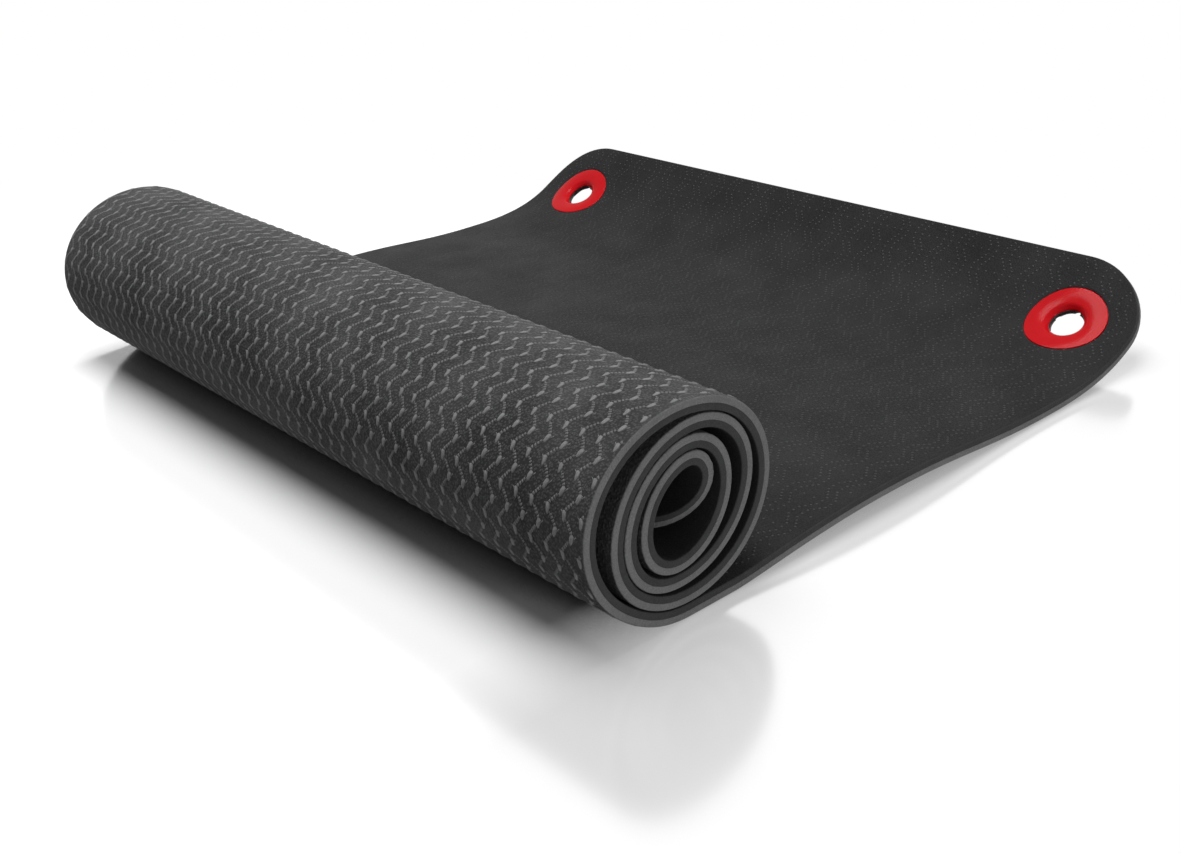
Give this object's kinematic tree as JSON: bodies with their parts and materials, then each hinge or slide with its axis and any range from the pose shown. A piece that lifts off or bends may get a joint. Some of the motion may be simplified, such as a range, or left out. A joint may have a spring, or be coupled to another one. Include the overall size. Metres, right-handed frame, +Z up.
{
  "type": "fitness mat",
  "caption": "Two-layer foam fitness mat with hanging eyelets at one end, mostly rolled up with the free end lying open.",
  "frame": {"origin": "centre of the bounding box at floor level", "axes": "+Z up, +Y along the roll, +X from the roll towards the free end with the eyelets"},
  "size_m": [0.5032, 0.6, 0.118],
  "materials": {
    "grip_foam": "matte grey foam, fine grain, raised zigzag grip lines",
    "top_foam": "matte charcoal foam, fine embossed weave",
    "eyelet_plastic": "smooth glossy red",
    "snap_ring_plastic": "smooth dark grey"
  },
  "bodies": {
    "root": {"grip_layer": "grip_foam", "top_layer": "top_foam", "near_eyelet_ring": "eyelet_plastic", "far_eyelet_ring": "eyelet_plastic", "near_snap_ring": "snap_ring_plastic", "far_snap_ring": "snap_ring_plastic"}
  },
  "joints": []
}
